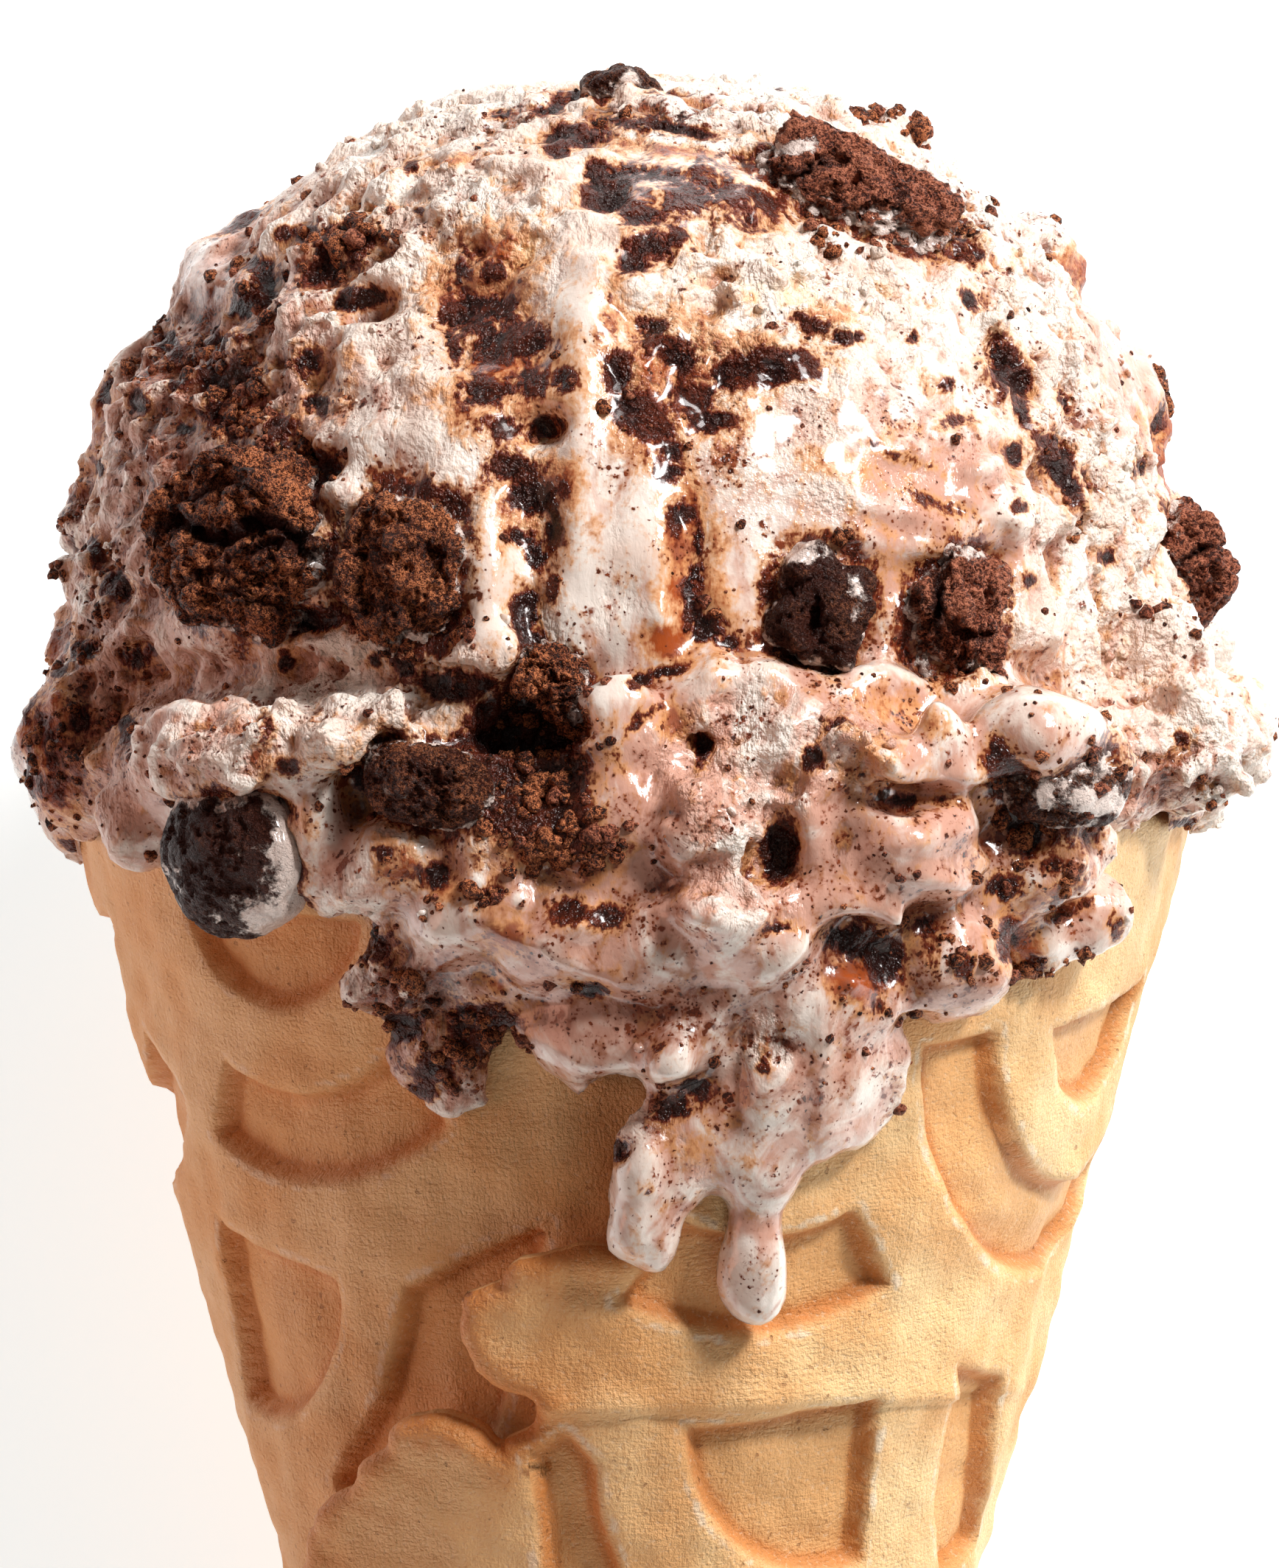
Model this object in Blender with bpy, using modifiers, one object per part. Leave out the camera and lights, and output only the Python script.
"""A scoop of cookie ice cream in a rolled wafer cone, lying on its back.

Everything is modelled upright first, in metres: the cone's axis is +Z, its virtual apex is the
origin, and the side that is seen stands towards -Y. One empty then lays the whole cone down, so
that the seen side looks up, the tip touches the floor and the back of the scoop rests on a flat
spot. The world's origin is the middle of the ground that the whole cone covers.
"""

import math
from dataclasses import dataclass

import bmesh
import bpy
import numpy as np
from mathutils import Matrix, Vector, noise

MM = 0.001

# Driving dimensions of the cone
CONE_SLOPE = 0.277
RIM_HEIGHT = 116.5 * MM
TIP_HEIGHT = 5.4 * MM
WAFER_THICKNESS = 2.2 * MM
WINDOW_DEPTH = 0.9 * MM
LAYER_GAP = 0.35 * MM
FLAP_LIFT = 0.8 * MM
FILLED_TIP_HEIGHT = 26.0 * MM
SHEET_START = 20.0 * MM
HIDDEN_OVERLAP = math.radians(9.0)
CUTS_PER_TURN = 28

# Driving dimensions of the scoop
SCOOP_RADIUS = 32.7 * MM
SCOOP_CENTRE_HEIGHT = 126.3 * MM
COLLAR_LUMPS = 20
COLLAR_HEIGHT = 119.4
COLLAR_STAND = -3.6
FILLING_START = 28.0 * MM
CLEARANCE = 0.35 * MM
VOXEL = 1.1 * MM
ROOM_ROWS = (78, 84, 87, 90, 93, 95, 97, 99, 102, 109, 115)
SCOOP_FACES = 3900

# How the cone lies
LEAN = math.radians(15.95)
APEX_BELOW_FLOOR = 0.125 * MM

HALF_ANGLE = math.atan(CONE_SLOPE)
SHEET_PER_TURN = math.sin(HALF_ANGLE)
FULL_TURN = 2 * math.pi * SHEET_PER_TURN
SHEET_TOP = RIM_HEIGHT / math.cos(HALF_ANGLE)


def clear_scene():
    """Removes what the startup file holds."""
    for obj in list(bpy.data.objects):
        bpy.data.objects.remove(obj, do_unlink=True)


def new_collection(name, hidden=False):
    """A collection of that name in the scene."""
    made = bpy.data.collections.new(name)
    made.hide_render = hidden
    bpy.context.scene.collection.children.link(made)
    return made


def material(name, colour, roughness):
    """A Principled material of one colour."""
    made = bpy.data.materials.new(name)
    made.use_nodes = True
    shader = made.node_tree.nodes["Principled BSDF"]
    shader.inputs["Base Color"].default_value = (*colour, 1.0)
    shader.inputs["Roughness"].default_value = roughness
    shader.inputs["Metallic"].default_value = 0.0
    return made


def object_of(mesh, name, collection):
    """A linked object that shows the mesh."""
    made = bpy.data.objects.new(name, mesh)
    collection.objects.link(made)
    return made


def object_of_bmesh(shape, name, collection):
    """A linked object made from a bmesh, which is freed."""
    mesh = bpy.data.meshes.new(name)
    shape.to_mesh(mesh)
    shape.free()
    return object_of(mesh, name, collection)


def apply_modifiers(obj):
    """Makes the evaluated shape the object's own mesh."""
    bpy.context.view_layer.update()
    graph = bpy.context.evaluated_depsgraph_get()
    mesh = bpy.data.meshes.new_from_object(obj.evaluated_get(graph))
    obj.modifiers.clear()
    obj.data = mesh
    return obj


def join_or_cut(obj, other, operation):
    """Applies one exact Boolean with another object, which is then removed."""
    modifier = obj.modifiers.new(operation.lower(), "BOOLEAN")
    modifier.operation = operation
    modifier.object = other
    apply_modifiers(obj)
    bpy.data.objects.remove(other, do_unlink=True)
    return obj


def smooth_step(low, high, value):
    """0 below low, 1 above high and an even rise between."""
    share = min(1.0, max(0.0, (value - low) / (high - low)))
    return share * share * (3 - 2 * share)


# The wafer, drawn flat: the apex is (0, 0), +Y runs up the sheet's middle, sizes in millimetres


@dataclass
class Rosette:
    """Concentric rings pressed into the wafer: a centre, and a disc and a groove around it."""

    x: float
    y: float
    disc: float = 6.6
    groove: tuple = (11.2, 16.8)


ROSETTE_STEP = math.radians(13.52)
FLAP_ROSETTE = Rosette(7.7, 106.0, groove=(9.8, 15.7))
FIRST_ROSETTE = Rosette(33.0, 105.2)
INNER_ROSETTE = Rosette(-23.0, 113.7, 7.0, (12.0, 17.3))
HIDDEN_ROSETTES = ((2, 112.3), (3, 113.5), (4, 114.5), (5, 115.3))
HALF_MOON_RADIUS = 9.7


def turned(points, angle):
    """Flat points turned about the apex, clockwise."""
    c, s = math.cos(angle), math.sin(angle)
    return [(c * x + s * y, c * y - s * x) for x, y in points]


def arc(x, y, radius, start, end, steps=8):
    """Points on an arc from one angle to another, in degrees."""
    angles = [math.radians(start + (end - start) * i / steps) for i in range(steps + 1)]
    return [(x + radius * math.cos(a), y + radius * math.sin(a)) for a in angles]


def groove_window(rosette, start, end):
    """A stretch of the groove between two rings."""
    inner, outer = rosette.groove
    far_side = arc(rosette.x, rosette.y, outer, start, end, 8)
    return far_side + arc(rosette.x, rosette.y, inner, end, start, 6)


def disc_window(rosette, start, end):
    """The lower part of a rosette's middle."""
    return arc(rosette.x, rosette.y, rosette.disc, start, end, 7)


def half_moon(x, y, reach, top, side):
    """A D-shaped window: its straight side stands a reach from the centre, its bow on that side."""
    low = math.degrees(math.acos(reach / HALF_MOON_RADIUS))
    high = math.degrees(math.asin(top / HALF_MOON_RADIUS))
    bow = arc(0, 0, HALF_MOON_RADIUS, high, -low, 7)
    outline = [(reach, top + 0.5), *bow]
    return [(x + side * u, y + v) for u, v in outline]


def slot_window(angle, low, high, width):
    """A window that tapers towards the tip, between two heights on the sheet."""
    top, foot = width / 2, width / 2 * low / high
    corners = [(-foot, low), (-top, high), (0, high + 1.2), (top, high), (foot, low), (0, low - 1.0)]
    return turned(corners, angle)


MOON_BESIDE_FLAP = half_moon(12.7, 84.4, -1.8, 0.4, -1)
SLIT_BESIDE_MOON = [(20.7, 85.6), (20.6, 76.0), (22.3, 71.6), (27.6, 72.0), (26.5, 78.0), (26.1, 83.2)]
SLIT_BEFORE_MOON = [(-5.2, 83.4), (-3.4, 84.8), (-1.8, 83.0), (-1.5, 79.6), (0.4, 73.4), (-4.4, 73.0)]
INNER_MOON = half_moon(-28.0, 90.0, -1.6, 1.2, 1)
INNER_HOLLOW = [(-13.4, 91.6), (-9.0, 94.2), (-4.6, 96.4), (-7.6, 84.0), (-14.0, 74.0), (-19.6, 78.6), (-15.2, 85.0)]


def windows():
    """The outlines of all the windows in the sheet."""
    found = [
        groove_window(FLAP_ROSETTE, -122, -63),
        disc_window(FIRST_ROSETTE, -178, -12),
        groove_window(FIRST_ROSETTE, -184, -62),
        SLIT_BEFORE_MOON,
        turned(disc_window(INNER_ROSETTE, -165, -5), FULL_TURN),
        turned(groove_window(INNER_ROSETTE, -109, -44), FULL_TURN),
        turned(INNER_MOON, FULL_TURN),
        turned(INNER_HOLLOW, FULL_TURN),
    ]
    lead = math.atan2(FLAP_ROSETTE.x, FLAP_ROSETTE.y)
    for step, distance in HIDDEN_ROSETTES:
        rosette = Rosette(0, distance)
        angle = lead + ROSETTE_STEP * step
        found.append(turned(disc_window(rosette, -172, -8), angle))
        found.append(turned(groove_window(rosette, -134, -46), angle))
    for step in (0, 2, 4):
        found.append(turned(MOON_BESIDE_FLAP, ROSETTE_STEP * step))
        found.append(turned(SLIT_BESIDE_MOON, ROSETTE_STEP * step))
    for step in range(7):
        found.append(slot_window(math.radians(13.6 * step - 9.0), 46.0, 64.0, 8.5))
    for step in range(4):
        found.append(slot_window(math.radians(24.0 * step - 5.0), 27.0, 38.0, 8.0))
    return found


# The flap's edge, from its foot up to the rim, where each rib runs out further than the thin wafer
FLAP_EDGE = (
    (-1.0, 20.0), (-6.5, 30.0), (-12.0, 42.0), (-15.5, 54.0), (-17.8, 66.0), (-18.9, 75.0),
    (-16.6, 79.2), (-14.0, 82.2), (-11.4, 85.2), (-8.6, 85.0), (-6.6, 83.6), (-4.6, 86.4),
    (-7.4, 87.6), (-9.0, 90.6), (-7.2, 93.8), (-2.8, 95.8), (1.2, 97.0), (2.4, 106.0), (2.6, 118.0),
)


def flap_angle(distance):
    """The sheet angle of the flap's edge at a distance from the apex, in millimetres."""
    radii = [math.hypot(x, y) for x, y in FLAP_EDGE]
    angles = [math.atan2(x, y) for x, y in FLAP_EDGE]
    return float(np.interp(distance, np.maximum.accumulate(radii), angles))


def sheet_outline():
    """The wafer's outline, which overlaps itself by a little more than a turn."""
    top = SHEET_TOP / MM
    foot = SHEET_START / MM
    start = flap_angle(top)
    end = start + FULL_TURN + HIDDEN_OVERLAP
    rim = [(top * math.sin(a), top * math.cos(a)) for a in np.linspace(start, end, 18)]
    hidden = []
    for distance in np.linspace(top, foot, 8)[1:]:
        overlap = HIDDEN_OVERLAP * smooth_step(foot + 8, foot + 45, distance) - math.radians(1.2)
        angle = flap_angle(distance) + FULL_TURN + overlap
        hidden.append((distance * math.sin(angle), distance * math.cos(angle)))
    low_end = math.atan2(*hidden[-1])
    low_start = math.atan2(*FLAP_EDGE[0])
    foot_arc = [(foot * math.sin(a), foot * math.cos(a)) for a in np.linspace(low_end, low_start, 10)[1:-1]]
    edge = [point for point in FLAP_EDGE if math.hypot(*point) < top - 0.5]
    return edge + rim + hidden + foot_arc


def flat_plate(outlines, name, low, high, collection):
    """A mesh plate between two heights, cut to one or more flat outlines."""
    curve = bpy.data.curves.new(name, "CURVE")
    curve.dimensions = "2D"
    curve.fill_mode = "BOTH"
    curve.extrude = (high - low) / 2
    for outline in outlines:
        spline = curve.splines.new("POLY")
        spline.points.add(len(outline) - 1)
        for point, (x, y) in zip(spline.points, outline):
            point.co = (x * MM, y * MM, 0, 1)
        spline.use_cyclic_u = True
    drawn = object_of(curve, name + "_outline", collection)
    drawn.location.z = (low + high) / 2
    bpy.context.view_layer.update()
    graph = bpy.context.evaluated_depsgraph_get()
    mesh = bpy.data.meshes.new_from_object(drawn.evaluated_get(graph))
    mesh.transform(drawn.matrix_world)
    bpy.data.objects.remove(drawn, do_unlink=True)
    shape = bmesh.new()
    shape.from_mesh(mesh)
    bmesh.ops.remove_doubles(shape, verts=shape.verts, dist=0.00001)
    bmesh.ops.recalc_face_normals(shape, faces=shape.faces)
    return object_of_bmesh(shape, name, collection)


def layer_offset(distance, turn):
    """How far the rolled sheet stands off its innermost layer, at an angle past the flap's edge."""
    settle = 1 - smooth_step(math.radians(6), math.radians(105), turn)
    curl = FLAP_LIFT * math.exp(-max(0.0, turn) / math.radians(14))
    curl *= smooth_step(0.04, 0.075, distance) * (1 - smooth_step(0.096, 0.108, distance))
    near_tip = smooth_step(0.018, 0.055, distance)
    return settle * near_tip * (WAFER_THICKNESS + LAYER_GAP) + curl


def rolled(point):
    """Where a point of the flat sheet goes when the sheet is rolled into the cone."""
    distance = math.hypot(point.x, point.y)
    angle = math.atan2(point.x, point.y)
    around = angle / SHEET_PER_TURN
    turn = around - flap_angle(distance / MM) / SHEET_PER_TURN
    radius, height = cone_point(distance, point.z - WAFER_THICKNESS + layer_offset(distance, turn))
    return Vector((radius * math.sin(around), -radius * math.cos(around), height))


def roll_up(plate, cuts_per_turn):
    """Adds fold lines through the apex to a flat plate, then rolls it."""
    shape = bmesh.new()
    shape.from_mesh(plate.data)
    step = FULL_TURN / cuts_per_turn
    first = math.floor(math.radians(-16) / step)
    last = math.ceil((FULL_TURN + math.radians(14)) / step)
    for number in range(first, last):
        angle = number * step
        everything = shape.verts[:] + shape.edges[:] + shape.faces[:]
        side = (math.cos(angle), -math.sin(angle), 0)
        bmesh.ops.bisect_plane(shape, geom=everything, plane_co=(0, 0, 0), plane_no=side, dist=0.000002)
    for vertex in shape.verts:
        vertex.co = rolled(vertex.co)
    shape.to_mesh(plate.data)
    shape.free()
    return plate


def turned_solid(profile, name, collection, steps, closed=False):
    """A solid of revolution about Z, from radii and heights in metres; a closed profile makes a ring."""
    mesh = bpy.data.meshes.new(name)
    points = [(radius, 0, height) for radius, height in profile]
    edges = [(i, (i + 1) % len(points)) for i in range(len(points) - (not closed))]
    mesh.from_pydata(points, edges, [])
    obj = object_of(mesh, name, collection)
    screw = obj.modifiers.new("turn", "SCREW")
    screw.steps = steps
    screw.render_steps = steps
    screw.use_merge_vertices = True
    screw.merge_threshold = 0.00005
    return apply_modifiers(obj)


def make_wafer_cone(collection, cutters):
    """The rolled wafer with its windows, closed at the tip."""
    sheet = flat_plate([sheet_outline()], "wafer_cone", 0, WAFER_THICKNESS, collection)
    low, high = WAFER_THICKNESS - WINDOW_DEPTH, WAFER_THICKNESS + WINDOW_DEPTH
    join_or_cut(sheet, flat_plate(windows(), "windows", low, high, cutters), "DIFFERENCE")
    roll_up(sheet, CUTS_PER_TURN)
    inset = 0.7 * MM
    tip = turned_solid(
        [
            (0, FILLED_TIP_HEIGHT),
            (FILLED_TIP_HEIGHT * CONE_SLOPE - inset, FILLED_TIP_HEIGHT),
            (9.5 * MM * CONE_SLOPE - 0.2 * MM, 9.5 * MM),
            (1.7 * MM, 6.4 * MM),
            (0.9 * MM, 5.6 * MM),
            (0, TIP_HEIGHT),
        ],
        "tip",
        cutters,
        24,
    )
    join_or_cut(sheet, tip, "UNION")
    sheet.data.materials.append(material("baked_wafer", (0.83, 0.60, 0.34), 0.62))
    return sheet


# The ice cream's overflow


@dataclass
class Lobe:
    """One lump on the surface: its place round the axis in degrees, and its sizes in millimetres."""

    around: float
    height: float
    stand: float
    wide: float
    tall: float
    deep: float
    slant: float = 0.0


def surface_radius(height, around):
    """The radius of the wafer or of the scoop, whichever stands out further at a height."""
    turn = (around - flap_angle(height / MM) / SHEET_PER_TURN) % math.tau
    wafer = height * CONE_SLOPE + layer_offset(height / math.cos(HALF_ANGLE), turn)
    rise = min(SCOOP_RADIUS * 0.99, abs(height - SCOOP_CENTRE_HEIGHT))
    scoop = math.sqrt(SCOOP_RADIUS**2 - rise**2)
    return max(wafer, scoop) if height < RIM_HEIGHT + 5 * MM else scoop


def surface_lean(height):
    """How far the surface leans back at a height."""
    if height < RIM_HEIGHT:
        return HALF_ANGLE
    return -math.asin(max(-0.3, min(0.98, (height - SCOOP_CENTRE_HEIGHT) / SCOOP_RADIUS)))


def seen(x, height, stand, wide, tall, deep, slant=0.0):
    """A lobe placed where it shows from the front: x is to the right of the axis."""
    around = 0.0
    for _ in range(3):
        radius = (surface_radius(height * MM, around) + stand * MM) / MM
        around = math.asin(max(-1.0, min(1.0, x / radius)))
    return Lobe(math.degrees(around), height, stand, wide, tall, deep, slant)


SEEN_LOBES = (
    seen(-31.2, 119.6, -0.5, 4.4, 5.4, 3.8),
    seen(-32.0, 117.4, -0.8, 4.6, 3.6, 3.1),
    seen(-31.0, 125.4, -1.3, 4.6, 4.0, 2.6, 20),
    seen(-21.6, 119.5, 1.8, 7.0, 3.0, 4.6, -8),
    seen(-28.0, 115.4, 1.0, 2.4, 2.8, 2.4),
    seen(-17.2, 113.8, 2.2, 2.0, 4.2, 2.6),
    seen(-13.5, 113.4, 1.8, 4.4, 2.8, 3.2, -20),
    seen(-8.5, 111.0, 2.0, 4.8, 3.2, 3.4, -22),
    seen(-3.5, 109.6, 2.2, 4.6, 3.4, 3.4, -15),
    seen(1.5, 108.8, 2.4, 5.0, 3.6, 3.6),
    seen(6.6, 110.4, 2.2, 4.2, 3.6, 3.4),
    seen(-12.6, 107.6, 0.8, 4.6, 2.5, 2.4, -25),
    seen(-10.4, 103.0, 0.4, 3.8, 2.9, 2.0, -20),
    seen(-10.0, 100.6, 0.2, 1.9, 1.6, 1.3),
    seen(-1.6, 103.8, 1.6, 4.8, 3.1, 3.0),
    seen(2.4, 102.0, 2.6, 1.6, 2.2, 2.0),
    seen(-1.2, 98.2, 0.7, 2.0, 3.4, 2.0),
    seen(0.2, 95.2, 0.9, 1.8, 2.6, 1.7),
    seen(1.3, 92.4, 1.0, 1.6, 2.4, 1.6),
    seen(4.2, 97.8, 0.5, 2.6, 3.5, 1.8),
    seen(9.4, 101.4, 1.2, 4.7, 5.3, 2.8),
    seen(11.0, 105.6, 1.5, 4.5, 3.6, 3.0),
    seen(7.3, 97.0, 0.9, 2.7, 3.7, 2.2),
    seen(6.9, 93.0, 1.0, 1.5, 3.2, 1.5),
    seen(7.0, 89.3, 1.1, 1.7, 2.1, 1.7),
    seen(-0.6, 115.8, 1.3, 4.8, 3.4, 3.2),
    seen(1.4, 112.4, 1.0, 3.4, 2.4, 2.6),
    seen(-7.2, 106.4, 0.6, 3.0, 2.6, 2.2),
    seen(4.8, 104.6, 0.7, 3.2, 3.0, 2.4),
    seen(4.6, 115.6, 0.8, 3.4, 3.2, 3.0, 20),
    seen(15.4, 114.4, 2.0, 4.6, 3.4, 3.4, 12),
    seen(18.4, 118.6, 1.4, 4.6, 2.6, 3.0, -20),
    seen(12.0, 111.2, 1.9, 3.2, 3.8, 3.0),
    seen(18.3, 107.8, 1.9, 3.8, 3.7, 3.2),
    seen(13.8, 108.4, 0.9, 3.0, 2.6, 2.4),
    seen(22.8, 113.6, 1.4, 3.4, 3.0, 3.2, -30),
    seen(26.2, 110.4, 1.6, 2.8, 2.1, 2.3, -35),
    seen(23.0, 108.6, 0.6, 2.0, 1.9, 1.6),
    seen(24.4, 118.9, 1.9, 4.6, 3.6, 3.8),
    seen(31.4, 120.2, 0.8, 4.6, 3.8, 4.2),
    seen(33.2, 121.0, 0.3, 5.0, 3.7, 3.8),
    seen(30.0, 125.2, 0.2, 4.0, 3.4, 3.6, -20),
    seen(25.0, 147.4, -2.2, 4.8, 3.4, 3.4, 25),
    seen(30.2, 140.2, -1.8, 4.4, 4.2, 3.2),
    seen(14.6, 154.2, -2.8, 4.6, 3.0, 3.0),
    seen(-23.0, 147.4, -3.2, 6.0, 4.0, 3.2, -20),
    seen(-31.6, 134.0, -1.6, 3.6, 3.6, 2.8),
    seen(-3.0, 136.0, -2.2, 1.7, 13.0, 3.2, 2),
    seen(6.4, 133.0, -2.4, 2.0, 10.0, 3.2, -4),
    seen(-18.5, 138.6, -3.2, 5.0, 6.0, 4.0, 15),
    seen(19.4, 134.0, -2.4, 6.0, 2.2, 3.2, 22),
)
BACK_LOBE_COUNT = 13


def back_lobes():
    """Lumps round the back like those of the front, with a fixed seed."""
    draw = np.random.default_rng(7)
    for number in range(BACK_LOBE_COUNT):
        around = 98 + number * 13.6 + draw.uniform(-3, 3)
        height = 119.0 + draw.uniform(-1.6, 2.4)
        slant = draw.uniform(-25, 25)
        yield Lobe(around, height, -1.4, draw.uniform(4.2, 6.2), draw.uniform(3.6, 5.0), 4.2, slant)
        if number % 2:
            yield Lobe(around + 5, height - 4.4, 0.6, 3.4, 3.2, 2.4, -slant)
        else:
            yield Lobe(around + 4, height + 20, -2.6, 6.4, 4.4, 3.6, slant)


def lobe_matrix(lobe):
    """Places a unit sphere as a lobe that leans with the surface."""
    around = math.radians(lobe.around)
    out = surface_radius(lobe.height * MM, around) + lobe.stand * MM
    turn = Matrix.Rotation(around, 4, "Z")
    place = Matrix.Translation((0, -out, lobe.height * MM))
    lean = Matrix.Rotation(surface_lean(lobe.height * MM), 4, "X")
    slant = Matrix.Rotation(math.radians(lobe.slant), 4, "Y")
    size = Matrix.Diagonal((lobe.wide * MM, lobe.deep * MM, lobe.tall * MM, 1))
    return turn @ place @ lean @ slant @ size


def add_lump(shape, matrix, detail=3):
    """Adds a placed unit sphere, and returns its vertices."""
    return bmesh.ops.create_icosphere(shape, subdivisions=detail, radius=1, matrix=matrix)["verts"]


def roughen(vertices, centre, size, depth, seed):
    """Pushes vertices in and out from a centre by smooth noise."""
    shift = Vector((seed, seed * 0.37, -seed * 0.61))
    for vertex in vertices:
        out = (vertex.co - centre).normalized()
        vertex.co += out * depth * noise.noise(vertex.co / size + shift)


def make_scoop_body(collection):
    """The scoop, its collar and the overflow as one smooth body."""
    shape = bmesh.new()
    centre = Vector((0, 0, SCOOP_CENTRE_HEIGHT))
    ball = add_lump(shape, Matrix.Translation(centre) @ Matrix.Scale(SCOOP_RADIUS, 4), 5)
    roughen(ball, centre, 9 * MM, 1.2 * MM, 3.1)
    roughen(ball, centre, 3.6 * MM, 0.7 * MM, 8.4)
    for number in range(COLLAR_LUMPS):
        lump = Lobe(360 * number / COLLAR_LUMPS, COLLAR_HEIGHT, COLLAR_STAND, 6.8, 5.0, 5.6)
        add_lump(shape, lobe_matrix(lump))
    for number, lobe in enumerate((*SEEN_LOBES, *back_lobes())):
        matrix = lobe_matrix(lobe)
        lump = add_lump(shape, matrix)
        roughen(lump, matrix.translation, 3.2 * MM, 0.9 * MM, number * 1.7)
    body = object_of_bmesh(shape, "ice_cream", collection)
    remesh = body.modifiers.new("fuse", "REMESH")
    remesh.mode = "VOXEL"
    remesh.voxel_size = VOXEL
    soften = body.modifiers.new("soften", "SMOOTH")
    soften.factor = 0.5
    soften.iterations = 2
    apply_modifiers(body)
    thin_out = body.modifiers.new("thin_out", "DECIMATE")
    body.data.calc_loop_triangles()
    thin_out.ratio = SCOOP_FACES / len(body.data.loop_triangles)
    return apply_modifiers(body)


def wafer_room(cutters):
    """The room that the rolled wafer takes, with a clearance all round."""
    top = (RIM_HEIGHT + 0.5 * MM) / math.cos(HALF_ANGLE)
    rows = [*(row * MM for row in ROOM_ROWS), top]
    inner = [cone_point(distance, -WAFER_THICKNESS - CLEARANCE) for distance in rows]
    outer = [cone_point(distance, 0) for distance in reversed(rows)]
    room = turned_solid([*inner, *outer], "wafer_room", cutters, 60, closed=True)
    for vertex in room.data.vertices:
        radius = math.hypot(vertex.co.x, vertex.co.y)
        distance = radius * math.sin(HALF_ANGLE) + vertex.co.z * math.cos(HALF_ANGLE)
        stand = radius * math.cos(HALF_ANGLE) - vertex.co.z * math.sin(HALF_ANGLE)
        if stand < -CLEARANCE:
            continue
        around = math.atan2(vertex.co.x, -vertex.co.y)
        turn = (around - flap_angle(distance / MM) / SHEET_PER_TURN) % math.tau
        edge = smooth_step(math.tau - math.radians(14), math.tau - math.radians(6), turn)
        outermost = WAFER_THICKNESS + LAYER_GAP + FLAP_LIFT
        stand = max(layer_offset(distance, turn), edge * outermost) + CLEARANCE
        radius, height = cone_point(distance, stand)
        vertex.co = (radius * math.sin(around), -radius * math.cos(around), height)
    return room


def cone_point(distance, stand):
    """The radius and height of a point that stands off the cone's side."""
    radius = distance * math.sin(HALF_ANGLE) + stand * math.cos(HALF_ANGLE)
    height = distance * math.cos(HALF_ANGLE) - stand * math.sin(HALF_ANGLE)
    return radius, height


def filling(cutters):
    """The ice cream inside the cone, down to the filled tip."""
    gap = (WAFER_THICKNESS + 1.5 * CLEARANCE) / math.cos(HALF_ANGLE)
    top = RIM_HEIGHT + 4 * MM
    return turned_solid(
        [
            (0, top),
            (RIM_HEIGHT * CONE_SLOPE - gap - 0.02 * MM, top),
            (RIM_HEIGHT * CONE_SLOPE - gap - 0.02 * MM, RIM_HEIGHT),
            (FILLING_START * CONE_SLOPE - gap, FILLING_START),
            (0, FILLING_START),
        ],
        "filling",
        cutters,
        40,
    )


# The pieces of cookie and brownie


@dataclass
class Chunk:
    """A broken piece of cookie or brownie, set in the surface as a lobe is."""

    name: str
    place: Lobe
    squareness: float
    kind: str


CHUNKS = (
    Chunk("cookie_round_left", seen(-21.8, 131.6, -0.6, 5.8, 4.8, 3.8, 4), 0.2, "cookie"),
    Chunk("cookie_inner_left", seen(-12.3, 129.8, -1.4, 3.7, 4.0, 3.0, -12), 0.35, "cookie"),
    Chunk("brownie_top_right", seen(13.8, 151.0, -1.4, 6.6, 2.8, 3.2, 31), 0.55, "brownie"),
    Chunk("brownie_front_right", seen(17.9, 127.5, -0.8, 3.4, 3.7, 3.2, 8), 0.6, "brownie"),
    Chunk("cookie_front_dark", seen(10.3, 128.2, -0.8, 2.5, 3.3, 2.4, -6), 0.4, "cookie"),
    Chunk("brownie_right_edge", seen(31.6, 130.4, -0.2, 2.6, 3.0, 2.8, 35), 0.5, "brownie"),
    Chunk("cookie_hanging_left", seen(-22.2, 113.9, 3.9, 4.8, 4.8, 2.9, 0), 0.25, "cookie"),
    Chunk("cookie_front_low", seen(-11.4, 118.2, 2.3, 3.2, 2.3, 2.4, 14), 0.4, "cookie"),
    Chunk("brownie_small_front", seen(-4.4, 123.3, 0.2, 2.1, 1.6, 1.7, 35), 0.5, "brownie"),
    Chunk("cookie_lower_right", seen(24.6, 119.0, 3.2, 3.4, 2.4, 2.4, 0), 0.3, "cookie"),
    Chunk("cookie_top", seen(-0.4, 157.4, -2.4, 2.4, 1.2, 1.6, 0), 0.35, "cookie"),
    Chunk("cookie_back_left", Lobe(-118.0, 136.0, -1.0, 5.0, 3.8, 3.2, 20), 0.3, "cookie"),
    Chunk("brownie_back_right", Lobe(128.0, 141.0, -1.0, 4.4, 3.0, 3.0, -25), 0.55, "brownie"),
    Chunk("cookie_back_top", Lobe(-165.0, 150.6, -1.0, 4.2, 3.2, 3.0, 10), 0.3, "cookie"),
)


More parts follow.
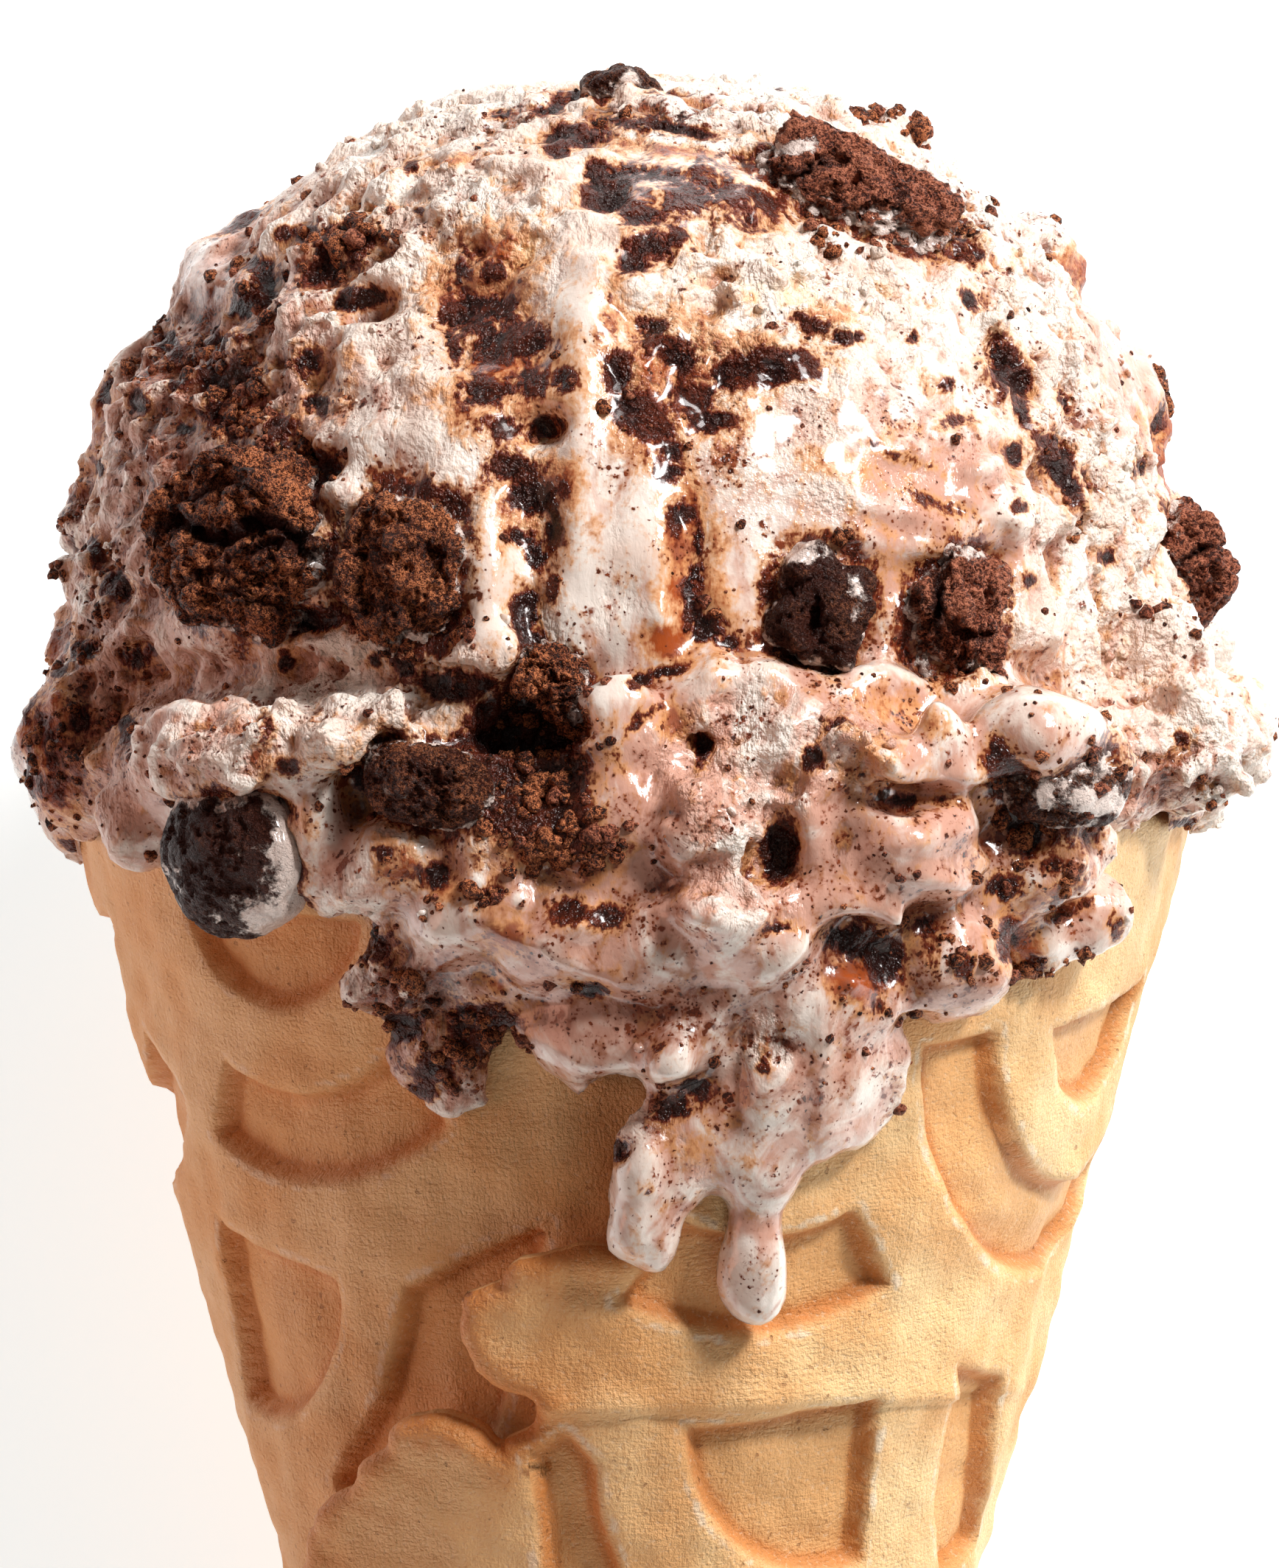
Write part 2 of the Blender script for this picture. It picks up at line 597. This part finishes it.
def chunk_shape(chunk, grown, detail):
    """A bmesh of the broken piece, grown outwards by a margin."""
    shape = bmesh.new()
    lump = add_lump(shape, Matrix.Identity(4), detail)
    lobe = chunk.place
    size = Matrix.Diagonal((lobe.wide * MM, lobe.deep * MM, lobe.tall * MM, 1))
    for vertex in lump:
        reach = max(abs(value) for value in vertex.co)
        vertex.co = size @ vertex.co.lerp(vertex.co / reach * 0.86, chunk.squareness)
    roughen(lump, Vector((0, 0, 0)), 2.6 * MM, 0.8 * MM, len(chunk.name) + lobe.around * 0.1)
    shape.normal_update()
    ways = [vertex.normal.copy() for vertex in lump]
    for vertex, way in zip(lump, ways):
        vertex.co += way * grown
    bmesh.ops.transform(shape, matrix=lobe_matrix(lobe) @ size.inverted(), verts=lump)
    return shape


def place_chunks(body, collection, cutters, finishes):
    """Cuts a socket for each broken piece and sets the piece in it."""
    for chunk in CHUNKS:
        socket = object_of_bmesh(chunk_shape(chunk, CLEARANCE * 1.4, 2), chunk.name + "_socket", cutters)
        join_or_cut(body, socket, "DIFFERENCE")
        piece = object_of_bmesh(chunk_shape(chunk, 0, 2), chunk.name, collection)
        piece.data.materials.append(finishes[chunk.kind])


def lying_matrix():
    """The turn and shift that lay the upright cone down on its back."""
    lean = Matrix.Rotation(LEAN - math.pi / 2, 4, "X")
    return Matrix.Translation((0, 0, -APEX_BELOW_FLOOR)) @ lean


def floor_block(cutters):
    """What lies under the floor, in the upright cone's own frame."""
    shape = bmesh.new()
    side = 0.4
    bmesh.ops.create_cube(shape, size=side, matrix=Matrix.Translation((0, 0, -side / 2)))
    bmesh.ops.transform(shape, matrix=lying_matrix().inverted(), verts=shape.verts)
    return object_of_bmesh(shape, "floor_block", cutters)


def make_ice_cream(collection, cutters):
    """The scoop with its overflow and filling, cut clear of the wafer and flat where it rests."""
    body = make_scoop_body(collection)
    join_or_cut(body, wafer_room(cutters), "DIFFERENCE")
    join_or_cut(body, filling(cutters), "UNION")
    join_or_cut(body, floor_block(cutters), "DIFFERENCE")
    body.data.materials.clear()
    body.data.materials.append(material("cookie_ice_cream", (0.86, 0.78, 0.71), 0.38))
    return body


def keep_largest_body(obj):
    """Drops loose scraps that the cuts have left."""
    shape = bmesh.new()
    shape.from_mesh(obj.data)
    unseen = set(shape.verts)
    groups = []
    while unseen:
        group, edge = set(), [unseen.pop()]
        while edge:
            vertex = edge.pop()
            group.add(vertex)
            for link in vertex.link_edges:
                other = link.other_vert(vertex)
                if other in unseen:
                    unseen.remove(other)
                    edge.append(other)
        groups.append(group)
    largest = max(groups, key=len)
    scraps = [vertex for vertex in shape.verts if vertex not in largest]
    bmesh.ops.delete(shape, geom=scraps, context="VERTS")
    shape.to_mesh(obj.data)
    shape.free()


def lay_down(collection):
    """Parents the pieces to one empty that lays the cone on its back."""
    holder = bpy.data.objects.new("lying_pose", None)
    collection.objects.link(holder)
    for obj in collection.objects:
        if obj is not holder:
            obj.parent = holder
    corners = [lying_matrix() @ vertex.co for obj in collection.objects if obj.data for vertex in obj.data.vertices]
    low = Vector([min(corner[axis] for corner in corners) for axis in range(3)])
    high = Vector([max(corner[axis] for corner in corners) for axis in range(3)])
    middle = (low + high) / 2
    holder.matrix_world = Matrix.Translation((-middle.x, -middle.y, -low.z)) @ lying_matrix()


def main():
    """Builds the cone, the ice cream and the pieces in it."""
    clear_scene()
    collection = new_collection("ice_cream_cone")
    cutters = new_collection("cutters", hidden=True)
    finishes = {
        "cookie": material("dark_cookie", (0.13, 0.07, 0.05), 0.6),
        "brownie": material("brownie", (0.24, 0.10, 0.06), 0.55),
    }
    make_wafer_cone(collection, cutters)
    body = make_ice_cream(collection, cutters)
    place_chunks(body, collection, cutters, finishes)
    keep_largest_body(body)
    lay_down(collection)


main()
